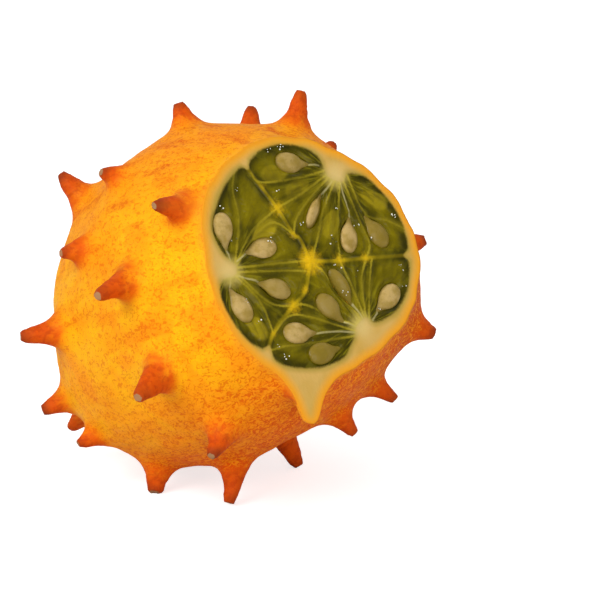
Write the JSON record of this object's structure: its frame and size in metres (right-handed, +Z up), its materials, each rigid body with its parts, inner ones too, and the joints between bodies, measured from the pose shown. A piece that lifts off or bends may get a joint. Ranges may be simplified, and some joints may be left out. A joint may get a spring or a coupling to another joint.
{
  "type": "horned melon",
  "caption": "Ripe horned melon lying on its horns, one end sliced off to show green pulp, pale walls and flat seeds.",
  "frame": {"origin": "middle of the outline's footprint, on the floor the horns lie on", "axes": "+Z up, -Y toward the sliced end, +X to the right when looking at the slice"},
  "size_m": [0.1014, 0.1094, 0.0985],
  "materials": {
    "skin": "waxy satin rind, wet on the slice",
    "seed": "smooth damp seed coat"
  },
  "bodies": {
    "root": {"melon": "skin", "seed_01": "seed", "seed_02": "seed", "seed_03": "seed", "seed_04": "seed", "seed_05": "seed", "seed_06": "seed", "seed_07": "seed", "seed_08": "seed", "seed_09": "seed", "seed_10": "seed", "seed_11": "seed", "seed_12": "seed", "seed_13": "seed"}
  },
  "joints": []
}
